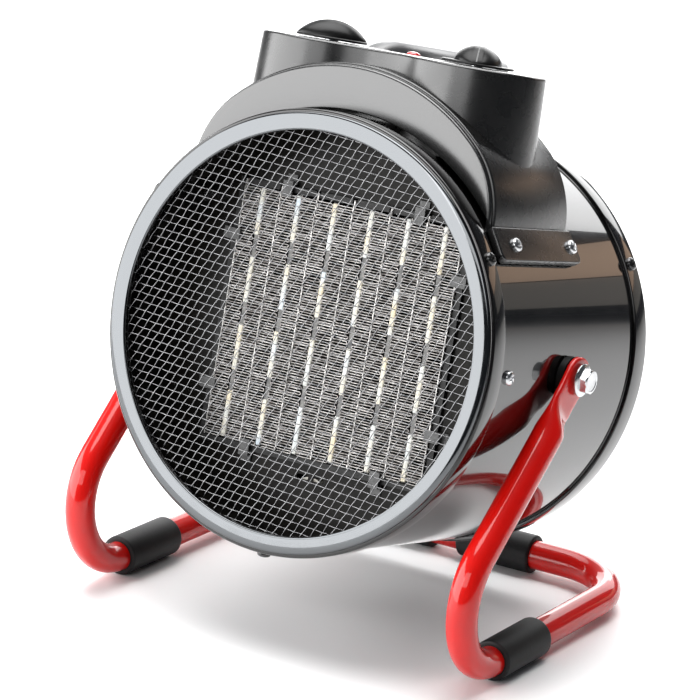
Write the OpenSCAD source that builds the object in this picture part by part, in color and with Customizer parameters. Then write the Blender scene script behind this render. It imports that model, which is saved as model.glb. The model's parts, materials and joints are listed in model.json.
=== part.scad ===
// Drum fan heater with a ceramic heating block, carried between the legs of a
// bent tube stand. Millimetres, +Z up, front towards -Y.
// Parts of the heater are written untilted, with the pivot axis as X and
// distances along the drum (s) counted from the face of the front ring;
// in_heater() then lifts and tilts them onto the stand.

/* [Pose] */
// Upward tilt of the drum on its stand, degrees
tilt = 11.5; // [0:0.5:20]

/* [Drum] */
// Outer diameter of the two end bands
band_d = 190; // [186:1:196]
// Length of the drum over the front ring and the rear band
drum_len = 146.5; // [146.5:0.5:156]
// Distance of the pivot behind the face of the front ring
pivot_s = 71.7; // [68:0.1:76]
// Width of the front band
front_band_w = 10.2; // [9.6:0.2:12]
// Width of the rear band
rear_band_w = 11.6; // [10:0.2:13]
// Thickness of the rolled steel sheet
sheet = 1.2; // [0.8:0.1:1.5]
// Diameter of the opening inside the front ring
ring_open_d = 171.6; // [168:0.2:174]

/* [Front guard] */
// Distance between neighbouring wires of the guard
wire_pitch = 3.65; // [3.4:0.05:6]
// Diameter of a guard wire
wire_d = 0.7; // [0.5:0.05:0.9]
// Slope of the first layer of wires, degrees
wire_slope_1 = -4; // [-10:1:10]
// Slope of the second layer of wires, degrees
wire_slope_2 = 62; // [50:1:90]

/* [Heating block] */
// Side of the square block of fins and ceramic
block_w = 111; // [100:1:112]
// Depth of the block along the air flow
block_deep = 15; // [12:1:18]
// Distance of the block behind the face of the front ring
block_s = 31.5; // [29:0.5:34]
// Pairs of fin columns, each pair with a ceramic strip between
column_pairs = 6; // [4:1:8]
// Ceramic chips in one strip
chips = 4; // [3:1:5]

/* [Control housing] */
// Half width of the saddle
arch_half_w = 76; // [74:0.5:78]
// Height of the saddle's crown above the pivot
arch_top = 117; // [115:0.5:118]
// Height above the pivot where the saddle's sides are vertical
arch_spring = 60; // [58:0.5:62]
// Radius of the saddle's shoulders
arch_shoulder_r = 44; // [40:0.5:48]
// Front of the saddle
saddle_front = 17; // [16:0.5:20]
// Back of the saddle
saddle_rear = 85; // [83:0.5:88]
// Height of the control panel above the pivot
panel_z = 122.9; // [122:0.1:125]
// Radius of each round lobe of the console
lobe_r = 30; // [28:0.5:31]
// Distance of each lobe and its knob from the middle
lobe_x = 36.7; // [35:0.1:38]
// Radius of the hollow between the lobes
waist_r = 35; // [30:1:40]
// Position of the knobs along the drum
knob_s = 52; // [50:0.5:53]

/* [Knobs] */
// Diameter of a knob's skirt
knob_d = 31; // [28:0.2:32]
// Height of a knob above its skirt's underside
knob_h = 9; // [8:0.5:11]
// Turn of the thermostat knob, degrees
thermostat_turn = 31; // [0:1:90]
// Turn of the switch knob, degrees
switch_turn = -64; // [-90:1:0]

/* [Stand] */
// Outer diameter of the stand's tube
tube_d = 13.4; // [12.7:0.1:14]
// Wall of the stand's tube
tube_wall = 1.3; // [1:0.1:1.8]
// Height of the pivot above the floor
pivot_h = 122.6; // [121:0.2:126]
// Slope of the legs against the floor, degrees
leg_slope = 40.8; // [39:0.2:43]
// Half distance between the two floor runs
run_x = 96.8; // [96:0.2:98]
// Distance of the rear cross bar behind the pivot
rear_y = 79.5; // [78:0.5:84]
// Bend radius at the front of each leg, to the tube's centre
front_bend_r = 29.6; // [26:0.2:32]
// Bend radius at the rear corners, to the tube's centre
rear_bend_r = 36; // [30:1:40]
// Outer diameter of the rubber sleeves
sleeve_d = 18; // [17:0.2:19]
// Length of a rubber sleeve
sleeve_len = 38; // [30:1:40]

/* [Hidden] */
$fn = 96;

// Clearances: curved parts that are fixed together, parts that move past
// each other, and a shaft running in its bush
fixed_gap = 0.1;
move_gap = 0.3;
run_gap = 0.06;

// Drum
band_r = band_d / 2;
shell_r = band_r - sheet - fixed_gap - 0.2;
shell_in = shell_r - sheet;
shell_front = 4;
shell_rear = drum_len - 4;
band_front = 1.5;
lip_r = 88;
band_screw_s = 7;
shell_screw_s = 20;

// Stand
tube_r = tube_d / 2;
bore_r = tube_r - tube_wall;
run_z = sleeve_d / 2;
lug_x = 98.8;
lug_thick = 3.2;
lug_w = 17.5;
lug_end_r = 9.5;
leg_top_x = 100.2;
flat_len = 19;
taper_len = 11;
bend_lap = 0.6;
bend_thin = 0.04;
splay = atan((leg_top_x - run_x) / (pivot_h - run_z));
plane_h = (pivot_h - run_z) / cos(splay);
bend_y = (front_bend_r + (front_bend_r - plane_h) * cos(leg_slope)) / sin(leg_slope);
leg_foot_y = bend_y - front_bend_r * sin(leg_slope);
leg_foot_h = front_bend_r * (1 + cos(leg_slope));
leg_len = norm([leg_foot_y, plane_h - leg_foot_h]);

// The object stands centred on its own box. Its furthest points are the front
// bends of the stand or the lower front edge of the drum, and the upper edge
// of the rear band
front_reach = min(bend_y - front_bend_r - tube_r + bend_thin,
                  (band_front - pivot_s) * cos(tilt) - (band_r - 1) * sin(tilt));
rear_reach = (drum_len - pivot_s) * cos(tilt) + (band_r - 1) * sin(tilt);
pivot_y = -(front_reach + rear_reach) / 2;

// Fasteners
pivot_pin_r = 3;
flange_r = 6.9;
screw_head_r = 3.1;
screw_r = 1.5;
band_angles = [30, 150, 270];
shell_angles = [0, 180, 270];
pad_angle = 33.5;
pad_w = 15.6;
pad_thick = 3.4;
pad_shift = 0.5;
pad_r = band_r + 2.2;
pad_screw_s = [30, 81];

// Heating block
pair_pitch = block_w / column_pairs;
chip_w = 2.6;
plate_w = 0.6;
column_w = (pair_pitch - chip_w - plate_w) / 2;
chip_len = 20.5;
chip_gap = (block_w - 1 - chips * chip_len) / (chips - 1);
fin_pitch = 6.1;
fin_wall = 0.8;
frame_w = 3;
baffle_s = block_s + 3;

// Fan and motor
fan_r = 75;
fan_s = 82;
shaft_r = 2.5;
shaft_len = 58;
motor_s = 102;
stack = 22;
rotor_r = 15;

// Controls
spindle_r = 3;
wall = 2.5;
panel_thick = 1.5;
knob_base_z = panel_z + move_gap;
sphere_r = (knob_h * knob_h + knob_d * knob_d / 4) / (2 * knob_h);
lamp_s = 61;
gland_z = 104.5;
gland_bore_r = 3.6;

// ---- placing -------------------------------------------------------------

module in_heater() {
    translate([0, pivot_y, pivot_h])
        rotate([-tilt, 0, 0])
            children();
}

// Puts a shape drawn about Z onto the drum's axis, starting at s
module on_axis(s) {
    translate([0, s - pivot_s, 0])
        rotate([-90, 0, 0])
            children();
}

// Extrudes a cross-section of the drum, x across and y up, from s0 to s1
module section(s0, s1) {
    translate([0, s1 - pivot_s, 0])
        rotate([90, 0, 0])
            linear_extrude(s1 - s0)
                children();
}

// Puts a shape drawn about Z on the drum's side, at an angle from +X
module on_side(s, angle, r) {
    rotate([0, -angle, 0])
        translate([r, s - pivot_s, 0])
            rotate([0, 90, 0])
                children();
}

module ring(r0, r1, h) {
    difference() {
        cylinder(r = r1, h = h);
        translate([0, 0, -1])
            cylinder(r = r0, h = h + 2);
    }
}

module round_rect(w, h, r) {
    square([w - 2 * r, h], center = true);
    square([w, h - 2 * r], center = true);
    for (x = [-1, 1], y = [-1, 1])
        translate([x * (w / 2 - r), y * (h / 2 - r)])
            circle(r, $fn = 32);
}

// Pan head screw with a cross recess, head up, its shank reaching down
module screw(head_r, shank_r, len) {
    difference() {
        union() {
            intersection() {
                translate([0, 0, -head_r * 0.55])
                    sphere(r = head_r * 1.25, $fn = 48);
                cylinder(r = head_r, h = head_r, $fn = 48);
            }
            translate([0, 0, -len])
                cylinder(r = shank_r, h = len + 0.1, $fn = 32);
        }
        for (a = [0, 90])
            rotate([0, 0, a])
                translate([-head_r * 0.55, -0.3, head_r * 0.35])
                    cube([head_r * 1.1, 0.6, head_r]);
    }
}

module side_screws(s, angles, r, len) {
    for (a = angles)
        on_side(s, a, r + 0.06)
            screw(screw_head_r, screw_r, len);
}

module side_holes(s, angles, r = screw_r + 0.1) {
    for (a = angles)
        on_side(s, a, band_r - 10)
            cylinder(r = r, h = 20, $fn = 32);
}

// ---- stand ---------------------------------------------------------------

// The leg's plane, drawn with x backwards and y up, its thickness along X;
// it leans outwards by the splay about the floor run
module leg_plane() {
    translate([run_x, pivot_y, run_z])
        rotate([0, splay, 0])
            rotate([90, 0, 90])
                children();
}

// Straight lengths reach a little way into the bends, and the bends are a
// hair thinner, as bending leaves them
module stand_tube(r, from) {
    run_len = rear_y - rear_bend_r - bend_y;
    both_sides() {
        leg_plane() {
            translate([0, plane_h, 0])
                rotate([0, 0, 180 + leg_slope])
                    translate([from, 0, 0])
                        rotate([0, 90, 0])
                            cylinder(r = r, h = leg_len - from + bend_lap);
            translate([bend_y, front_bend_r, 0])
                rotate([0, 0, 90 + leg_slope])
                    rotate_extrude(angle = 180 - leg_slope)
                        translate([front_bend_r, 0])
                            circle(r - bend_thin);
        }
        translate([run_x, pivot_y + bend_y - bend_lap, run_z])
            rotate([-90, 0, 0])
                cylinder(r = r, h = run_len + 2 * bend_lap);
        translate([run_x - rear_bend_r, pivot_y + rear_y - rear_bend_r, run_z])
            rotate_extrude(angle = 90)
                translate([rear_bend_r, 0])
                    circle(r - bend_thin);
    }
    translate([0, pivot_y + rear_y, run_z])
        rotate([0, 90, 0])
            cylinder(r = r, h = 2 * (run_x - rear_bend_r + bend_lap), center = true);
}

// Flattened end of the leg, with a round ear for the pivot and a taper into
// the round tube
module lug() {
    skin = 0.03;
    translate([lug_x - lug_thick / 2, pivot_y, pivot_h])
        rotate([leg_slope, 0, 0]) {
            rotate([0, 90, 0])
                cylinder(r = lug_end_r, h = lug_thick);
            translate([0, -flat_len, -lug_w / 2])
                cube([lug_thick, flat_len, lug_w]);
        }
    hull() {
        translate([lug_x - lug_thick / 2 + skin, pivot_y, pivot_h])
            rotate([leg_slope, 0, 0])
                translate([0, -flat_len, skin - lug_w / 2])
                    cube([lug_thick - 2 * skin, 1, lug_w - 2 * skin]);
        leg_plane()
            translate([0, plane_h, 0])
                rotate([0, 0, 180 + leg_slope])
                    translate([flat_len + taper_len, 0, 0])
                        rotate([0, 90, 0])
                            cylinder(r = tube_r - skin, h = 1, $fn = 32);
    }
}

module both_sides() {
    children();
    mirror([1, 0, 0])
        children();
}

module stand_frame() {
    color([0.78, 0.04, 0.03])
        difference() {
            union() {
                stand_tube(tube_r, flat_len + taper_len + 0.5);
                both_sides()
                    lug();
            }
            stand_tube(bore_r, flat_len + taper_len + 2);
            translate([-120, pivot_y, pivot_h])
                rotate([0, 90, 0])
                    cylinder(r = pivot_pin_r + run_gap, h = 240, $fn = 48);
        }
}

module sleeve() {
    color([0.06, 0.06, 0.06])
        difference() {
            cylinder(r = sleeve_d / 2, h = sleeve_len);
            translate([0, 0, -1])
                cylinder(r = tube_r + fixed_gap / 2, h = sleeve_len + 2);
        }
}

module front_sleeve(side) {
    translate([side * run_x, pivot_y + bend_y, run_z])
        rotate([-90, 0, 0])
            sleeve();
}

module rear_sleeve(side) {
    translate([side * 26.5 - sleeve_len / 2, pivot_y + rear_y, run_z])
        rotate([0, 90, 0])
            sleeve();
}

module front_left_sleeve() {
    front_sleeve(-1);
}

module front_right_sleeve() {
    front_sleeve(1);
}

module rear_left_sleeve() {
    rear_sleeve(-1);
}

module rear_right_sleeve() {
    rear_sleeve(1);
}

// ---- drum ----------------------------------------------------------------

module drum_shell() {
    color([0.05, 0.05, 0.06])
        difference() {
            on_axis(shell_front)
                ring(shell_in, shell_r, shell_rear - shell_front);
            for (a = [0, 180])
                on_side(pivot_s, a, 80)
                    cylinder(r = pivot_pin_r + 0.2, h = 20, $fn = 48);
            side_holes(band_screw_s, band_angles);
            side_holes(drum_len - band_screw_s, band_angles);
            side_holes(shell_screw_s, shell_angles);
            for (s = pad_screw_s)
                side_holes(s, [pad_angle, 180 - pad_angle]);
            // wire hole under the saddle
            on_side(65, 90, 80)
                cylinder(r = 9, h = 20);
        }
}

// A band that wraps the shell's end, with a lip turned inwards; z = 0 is its
// free end, and the screw holes lie at screw_z
module band(width, screw_z) {
    difference() {
        rotate_extrude()
            polygon([[lip_r, 0], [band_r - 1, 0], [band_r, 1], [band_r, width],
                     [shell_r + fixed_gap, width], [shell_r + fixed_gap, sheet],
                     [lip_r, sheet]]);
        for (a = band_angles)
            rotate([0, 0, -a])
                translate([80, 0, screw_z])
                    rotate([0, 90, 0])
                        cylinder(r = screw_r + 0.1, h = 20, $fn = 32);
    }
}

module front_band() {
    color([0.03, 0.03, 0.035])
        on_axis(band_front)
            band(front_band_w, band_screw_s - band_front);
}

module rear_band() {
    color([0.03, 0.03, 0.035])
        on_axis(drum_len)
            mirror([0, 0, 1])
                band(rear_band_w, band_screw_s);
}

// Plated ring: a rolled bead round the opening, a shallow groove and a wide
// gently rounded face
module front_ring() {
    open_r = ring_open_d / 2;
    outer_r = band_r - 1.5;
    color([0.78, 0.79, 0.8])
        on_axis(0)
            rotate_extrude() {
                translate([open_r + 1, 1])
                    circle(1, $fn = 32);
                polygon([[open_r + 1, 0.8], [open_r + 2.2, 0.55], [open_r + 3.2, 0.1],
                         [open_r + 4.6, 0], [outer_r - 1.3, 0], [outer_r - 0.4, 0.35],
                         [outer_r, 1.2], [outer_r, band_front - 0.05], [open_r + 1, band_front - 0.05]]);
                translate([open_r, 1])
                    square([1.1, 1.5]);
            }
}

// Wires of the guard in two layers, held in a flat rim
module front_guard() {
    rim_r = 91.5;
    reach = rim_r - 1.5;
    count = floor(reach / wire_pitch);
    slopes = [wire_slope_1, wire_slope_2];
    color([0.6, 0.61, 0.62])
        on_axis(band_front + sheet + 0.05)
            union() {
                ring(rim_r - 4.5, rim_r, 1.9);
                for (layer = [0, 1], i = [-count:count])
                    rotate([0, 0, -90 - slopes[layer]])
                        translate([i * wire_pitch, 0, 0.5 + layer * (wire_d + 0.1)])
                            rotate([90, 0, 0])
                                cylinder(r = wire_d / 2,
                                         h = 2 * sqrt(reach * reach - pow(i * wire_pitch, 2)),
                                         center = true, $fn = 16);
            }
}

// Rings and spokes of the air inlet
module rear_grille() {
    rim_r = shell_in - 1;
    color([0.05, 0.05, 0.055])
        on_axis(drum_len - sheet - 2.3)
            union() {
                ring(rim_r - 5, rim_r, 2.2);
                for (r = [22:7.5:82])
                    ring(r, r + 2.4, 2.2);
                cylinder(r = 16, h = 2.2);
                for (a = [0:45:315])
                    rotate([0, 0, a])
                        translate([14, -2, 0.1])
                            cube([rim_r - 16, 4, 2]);
            }
}

// ---- heating block -------------------------------------------------------

module baffle_plate() {
    rim_r = shell_in - fixed_gap;
    opening = block_w + 2 * frame_w + 0.4;
    color([0.16, 0.16, 0.165])
        difference() {
            on_axis(17)
                union() {
                    ring(rim_r - 1, rim_r, baffle_s + 1 - 17);
                    translate([0, 0, baffle_s - 17])
                        cylinder(r = rim_r - 0.5, h = 1);
                }
            section(0, 60)
                square(opening, center = true);
            side_holes(shell_screw_s, shell_angles);
            side_holes(pad_screw_s[0], [pad_angle, 180 - pad_angle]);
            for (x = [-4, 4])
                section(0, 60)
                    translate([x, -block_w / 2 - 8.5])
                        round_rect(6, 2, 0.9);
        }
}

// Insulating frame round the block, open at front and back
module block_frame() {
    inside = column_pairs * pair_pitch + plate_w + 0.2;
    color([0.08, 0.08, 0.08])
        difference() {
            section(block_s + 1.2, block_s + block_deep)
                difference() {
                    square(block_w + 2 * frame_w, center = true);
                    square(inside, center = true);
                }
            section(block_s, block_s + 6)
                for (i = [0:column_pairs])
                    translate([(i - column_pairs / 2) * pair_pitch, block_w / 2])
                        square([2.4, 12], center = true);
        }
}

// Spring clips that hook over the block's front edges
module block_clips() {
    edge = block_w / 2;
    color([0.42, 0.43, 0.44])
        for (side = [0:3], along = [-0.3, 0.3])
            rotate([0, side * 90, 0])
                translate([along * block_w, block_s - pivot_s, edge])
                    union() {
                        difference() {
                            translate([-2.4, -1, -2])
                                cube([4.8, 3.9, 7.2]);
                            translate([-5, -0.02, -4])
                                cube([10, 20, 4 + frame_w + 0.35]);
                        }
                        translate([-2.4, 2.1, frame_w + 0.5])
                            cube([4.8, 0.8, 4.5]);
                    }
}

module fin_columns() {
    rows = floor((block_w - fin_wall) / fin_pitch);
    color([0.62, 0.6, 0.58])
        section(block_s, block_s + block_deep)
            for (pair = [0:column_pairs - 1], half = [0, 1])
                translate([-block_w / 2 + pair * pair_pitch + plate_w / 2
                           + half * (column_w + chip_w), -block_w / 2])
                    difference() {
                        square([column_w, block_w]);
                        for (row = [0:rows - 1])
                            translate([fin_wall, fin_wall + row * fin_pitch])
                                square([column_w - 2 * fin_wall, fin_pitch - fin_wall]);
                    }
}

module ceramic_chips() {
    color([0.85, 0.8, 0.68])
        section(block_s + 0.3, block_s + block_deep - 0.3)
            for (pair = [0:column_pairs - 1], i = [0:chips - 1])
                translate([-block_w / 2 + pair * pair_pitch + plate_w / 2 + column_w,
                           -block_w / 2 + 0.5 + i * (chip_len + chip_gap)])
                    square([chip_w, chip_len]);
}

// Thin plates between the pairs; every plate ends in a terminal blade
module electrode_plates() {
    color([0.8, 0.8, 0.8])
        for (i = [0:column_pairs])
            translate([(i - column_pairs / 2) * pair_pitch, 0, 0]) {
                section(block_s, block_s + block_deep)
                    square([plate_w, block_w], center = true);
                section(block_s + 0.5, block_s + 4.5)
                    translate([-plate_w / 2, block_w / 2 - 0.01])
                        square([plate_w, 2.6]);
            }
}

module thermal_cutout() {
    color([0.75, 0.72, 0.65])
        translate([0, baffle_s + 1.05 - pivot_s, -block_w / 2 - 16])
            rotate([-90, 0, 0]) {
                cylinder(r = 8, h = 6);
                cylinder(r = 5, h = 11);
                for (x = [-4, 4])
                    translate([x - 0.4, -2.5, 10.9])
                        cube([0.8, 5, 7]);
            }
}

// Round duct that leads the fan's air to the block
module air_duct() {
    duct_r = 80;
    color([0.3, 0.3, 0.31])
        on_axis(block_s + block_deep + 1)
            difference() {
                union() {
                    ring(duct_r - 1, duct_r, 49);
                    cylinder(r = shell_in - 0.5, h = 1);
                }
                translate([0, 0, -1])
                    intersection() {
                        cylinder(r = duct_r - 1, h = 3);
                        cube([block_w + 2, block_w + 2, 10], center = true);
                    }
                translate([0, block_w / 2 + 16, -1])
                    cylinder(r = 9, h = 3);
            }
}

// ---- fan and motor -------------------------------------------------------

module fan_blades() {
    hub_r = 12;
    color([0.72, 0.73, 0.74])
        on_axis(fan_s)
            difference() {
                union() {
                    translate([0, 0, -6])
                        cylinder(r = hub_r, h = 12);
                    intersection() {
                        for (a = [0:72:288])
                            rotate([0, 0, a])
                                translate([10, 0, 0])
                                    rotate([30, 0, 0])
                                        translate([0, -17, -0.6])
                                            cube([fan_r, 34, 1.2]);
                        translate([0, 0, -9])
                            cylinder(r = fan_r, h = 18);
                    }
                }
                translate([0, 0, -10])
                    cylinder(r = shaft_r + 0.02, h = 20, $fn = 48);
            }
}

module motor_shaft() {
    color([0.7, 0.7, 0.72])
        on_axis(fan_s - 8)
            cylinder(r = shaft_r, h = shaft_len, $fn = 48);
}

module motor_rotor() {
    color([0.55, 0.55, 0.57])
        on_axis(motor_s)
            ring(shaft_r + 0.02, rotor_r, stack);
}

module motor_stator() {
    color([0.45, 0.46, 0.48])
        section(motor_s, motor_s + stack)
            difference() {
                translate([0, -8])
                    square([54, 62], center = true);
                circle(rotor_r + 0.5);
                translate([0, -24])
                    square([34, 12], center = true);
            }
}

module motor_coil() {
    color([0.72, 0.38, 0.15])
        translate([0, motor_s + stack / 2 - pivot_s, -34.5])
            difference() {
                cube([30, stack + 14, 20.5], center = true);
                cube([31, stack + 0.4, 9.4], center = true);
            }
}

module motor_bracket() {
    difference() {
        union() {
            translate([-24, -4.5, 0])
                cube([48, 9, 4]);
            cylinder(r = 9, h = 4);
            for (x = [-20, 20])
                translate([x, 0, 3.9])
                    cylinder(r = 4, h = 3.1);
        }
        translate([0, 0, -1])
            cylinder(r = 5, h = 6);
    }
}

module motor_front_bracket() {
    color([0.66, 0.67, 0.68])
        on_axis(motor_s - 7)
            motor_bracket();
}

module motor_rear_bracket() {
    color([0.66, 0.67, 0.68])
        on_axis(motor_s + stack + 7)
            mirror([0, 0, 1])
                motor_bracket();
}

module motor_bushes() {
    color([0.7, 0.5, 0.25])
        for (s = [motor_s - 7, motor_s + stack + 3])
            on_axis(s)
                ring(shaft_r + run_gap, 5 - 0.02, 4);
}

// Spider that carries the motor inside the rear of the shell
module motor_mount() {
    rim_r = shell_in - fixed_gap;
    color([0.5, 0.51, 0.52])
        on_axis(motor_s + stack + 7.05)
            difference() {
                union() {
                    ring(rim_r - 6, rim_r, 1.5);
                    cylinder(r = 27, h = 1.5);
                    for (a = [45:90:315])
                        rotate([0, 0, a])
                            translate([20, -6, 0])
                                cube([rim_r - 23, 12, 1.5]);
                }
                translate([0, 0, -1])
                    cylinder(r = 7, h = 4);
                for (x = [-20, 20])
                    translate([x, 0, -1])
                        cylinder(r = 1.7, h = 4, $fn = 32);
            }
}

module mount_screws() {
    color([0.7, 0.7, 0.72])
        for (x = [-20, 20])
            on_axis(motor_s + stack + 8.6)
                translate([x, 0, 0])
                    screw(screw_head_r, screw_r, 1.5);
}

// ---- control housing -----------------------------------------------------

// Saddle outline: straight sides, two shoulders and a flatter crown that run
// into each other without a kink; t is how far inside the outer face it lies
module arch(t) {
    shoulder_x = arch_half_w - arch_shoulder_r;
    rise = arch_top - arch_spring;
    crown_r = (pow(shoulder_x, 2) + rise * rise - pow(arch_shoulder_r, 2))
              / (2 * (rise - arch_shoulder_r));
    crown_z = arch_top - crown_r;
    reach = 2 * (arch_spring - crown_z);
    for (x = [-1, 1])
        translate([x * shoulder_x, arch_spring])
            circle(arch_shoulder_r - t);
    intersection() {
        translate([0, crown_z])
            circle(crown_r - t);
        polygon([[0, crown_z], [2.2 * shoulder_x, crown_z + 1.1 * reach],
                 [0, arch_top + 40], [-2.2 * shoulder_x, crown_z + 1.1 * reach]]);
    }
    translate([-arch_half_w + t, 40])
        square([2 * (arch_half_w - t), arch_spring - 40]);
    translate([-shoulder_x, 40])
        square([2 * shoulder_x, arch_spring + 20 - 40]);
}

// Console outline seen from above: two round lobes joined by a hollow waist
module console(t) {
    waist_y = sqrt(pow(lobe_r + waist_r, 2) - lobe_x * lobe_x);
    touch_x = lobe_x - lobe_x * (lobe_r - t) / (lobe_r + waist_r);
    touch_y = waist_y * (lobe_r - t) / (lobe_r + waist_r);
    translate([0, knob_s - pivot_s]) {
        for (x = [-1, 1])
            translate([x * lobe_x, 0])
                circle(lobe_r - t);
        difference() {
            square([2 * touch_x, 2 * touch_y], center = true);
            for (y = [-1, 1])
                translate([0, y * waist_y])
                    circle(waist_r + t);
        }
    }
}

// Everything above the line where the saddle's sides end
module above_pads() {
    translate([-100, saddle_front - 20 - pivot_s, arch_spring - 2])
        cube([200, 120, 100]);
}

module drum_space(r) {
    on_axis(-5)
        cylinder(r = r, h = 180);
}

// Flat pad that lies against the drum's side, with two screw holes
module pad(side) {
    rotate([0, side > 0 ? -pad_angle : pad_angle - 180, 0])
        difference() {
            translate([pad_r - pad_thick, saddle_front - 2 - pivot_s,
                       (side > 0 ? pad_shift : -pad_shift) - pad_w / 2])
                cube([pad_thick, saddle_rear - saddle_front + 4, pad_w]);
            for (s = pad_screw_s)
                translate([60, s - pivot_s, 0])
                    rotate([0, 90, 0])
                        cylinder(r = screw_r + 0.1, h = 60, $fn = 32);
        }
}

module control_housing() {
    color([0.17, 0.17, 0.18])
        difference() {
            union() {
                intersection() {
                    section(saddle_front, saddle_rear)
                        arch(0);
                    above_pads();
                }
                translate([0, 0, 90])
                    linear_extrude(panel_z - 90)
                        console(0);
                for (side = [-1, 1])
                    intersection() {
                        pad(side);
                        translate([-100, -100, 30])
                            cube([200, 200, 100]);
                    }
            }
            intersection() {
                section(saddle_front - 1, saddle_rear - wall)
                    arch(wall);
                above_pads();
            }
            translate([0, 0, 89])
                linear_extrude(40)
                    console(wall);
            translate([0, 0, panel_z - panel_thick])
                linear_extrude(10)
                    console(1);
            drum_space(shell_r + fixed_gap);
            translate([0, saddle_rear - pivot_s - 5, gland_z])
                rotate([-90, 0, 0])
                    cylinder(r = 6.1, h = 10);
        }
}

module saddle_front_cover() {
    inset = 1.6;
    color([0.2, 0.2, 0.21])
        difference() {
            intersection() {
                union() {
                    section(saddle_front - 1, saddle_front - 0.05)
                        arch(inset);
                    section(saddle_front - 0.06, saddle_front + 2.5)
                        arch(wall + 0.1);
                }
                above_pads();
            }
            drum_space(band_r + 0.4);
            section(saddle_front + 0.8, saddle_front + 10)
                difference() {
                    arch(wall + 2);
                    circle(band_r + 2.5);
                }
        }
}

module control_panel() {
    color([0.12, 0.12, 0.13])
        translate([0, 0, panel_z - panel_thick + 0.02])
            difference() {
                linear_extrude(panel_thick - 0.02)
                    console(1.05);
                for (x = [-1, 1])
                    translate([x * lobe_x, knob_s - pivot_s, -1])
                        cylinder(r = spindle_r + 0.5, h = 4, $fn = 48);
                translate([0, lamp_s - pivot_s, -1])
                    cylinder(r = 3.8, h = 4, $fn = 48);
            }
}

// Bow-shaped grip behind the console
module carry_handle() {
    bow_r = 31;
    color([0.15, 0.15, 0.16])
        difference() {
            translate([0, 72.5 - pivot_s, panel_z - 2]) {
                rotate_extrude(angle = 180)
                    translate([bow_r, 0])
                        round_rect(12, 12, 4);
            }
            translate([0, 0, 80])
                linear_extrude(80)
                    console(-fixed_gap);
            translate([-60, 88 - pivot_s, panel_z + 4])
                rotate([24, 0, 0])
                    translate([0, -40, 0])
                        cube([120, 40, 20]);
        }
}

// ---- knobs and what they turn --------------------------------------------

module at_knob(side, z) {
    translate([side * lobe_x, knob_s - pivot_s, z])
        children();
}

// Skirt and a domed ridge with sloping faces; the ridge runs along X
module knob() {
    color([0.07, 0.07, 0.075])
        difference() {
            union() {
                cylinder(r = knob_d / 2, h = 1.1);
                intersection() {
                    translate([0, 0, knob_h - sphere_r])
                        sphere(r = sphere_r);
                    translate([-knob_d / 2, 0, 0])
                        rotate([90, 0, 90])
                            linear_extrude(knob_d)
                                polygon([[-10.2, 0.5], [10.2, 0.5], [2.9, knob_h], [-2.9, knob_h]]);
                }
            }
            translate([0, 0, -1])
                cylinder(r = spindle_r + 0.04, h = 6, $fn = 48);
            translate([4, -0.5, knob_h - 0.9])
                cube([12, 1, 2]);
        }
}

module thermostat_knob() {
    at_knob(-1, knob_base_z)
        rotate([0, 0, thermostat_turn])
            knob();
}

module switch_knob() {
    at_knob(1, knob_base_z)
        rotate([0, 0, switch_turn])
            knob();
}

module spindle() {
    color([0.72, 0.72, 0.74])
        translate([0, 0, -8])
            cylinder(r = spindle_r, h = 12.6, $fn = 48);
}

module thermostat_spindle() {
    at_knob(-1, knob_base_z)
        spindle();
}

module switch_spindle() {
    at_knob(1, knob_base_z)
        spindle();
}

// Bush under the panel with the spindle's bearing
module control_bush() {
    translate([0, 0, -5])
        ring(spindle_r + run_gap, 5.5, 5);
}

module thermostat_body() {
    color([0.7, 0.66, 0.6])
        at_knob(-1, panel_z - panel_thick) {
            control_bush();
            translate([0, 0, -8.4])
                ring(spindle_r + run_gap, 13, 3.5);
            translate([0, 0, -17])
                cylinder(r = 13, h = 7);
            for (x = [-10, 10])
                translate([x - 1.5, -4, -10.1])
                    cube([3, 8, 1.8]);
        }
}

module switch_body() {
    color([0.85, 0.85, 0.83])
        at_knob(1, panel_z - panel_thick) {
            control_bush();
            translate([0, 0, -12])
                difference() {
                    translate([-13, -13, -8])
                        cube([26, 26, 15]);
                    translate([0, 0, 1.8])
                        cylinder(r = spindle_r + run_gap, h = 8, $fn = 48);
                }
        }
}

module lamp_lens() {
    color([0.85, 0.05, 0.05])
        translate([0, lamp_s - pivot_s, panel_z - panel_thick - 3]) {
            cylinder(r = 3.6, h = panel_thick + 3, $fn = 48);
            intersection() {
                translate([0, 0, panel_thick + 3 - 3.2])
                    sphere(r = 5.2, $fn = 48);
                translate([0, 0, panel_thick + 3])
                    cylinder(r = 4.6, h = 4, $fn = 48);
            }
        }
}

module lamp_holder() {
    color([0.9, 0.9, 0.88])
        translate([0, lamp_s - pivot_s, panel_z - panel_thick - 9]) {
            cylinder(r = 4.8, h = 6);
        }
}

module terminal_block() {
    color([0.9, 0.89, 0.86])
        translate([0, 45 - pivot_s, shell_r + 5])
            difference() {
                cube([36, 12, 9.6], center = true);
                for (x = [-12, -4, 4, 12], y = [-3, 3])
                    translate([x, y, 1.5])
                        cylinder(r = 1.9, h = 5, $fn = 32);
            }
}

// Round gland in the saddle's back, bored for the supply cable
module cable_gland() {
    color([0.06, 0.06, 0.06])
        on_axis(saddle_rear - wall - 4.5)
            translate([0, -gland_z, 0])
                difference() {
                    union() {
                        cylinder(r = 6, h = 8);
                        translate([0, 0, wall + 4.55])
                            cylinder(r = 8.6, h = 3);
                        translate([0, 0, wall + 7.5])
                            cylinder(r1 = 7.4, r2 = 6, h = 8);
                    }
                    translate([0, 0, -1])
                        cylinder(r = gland_bore_r, h = 30, $fn = 48);
                }
}

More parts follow.
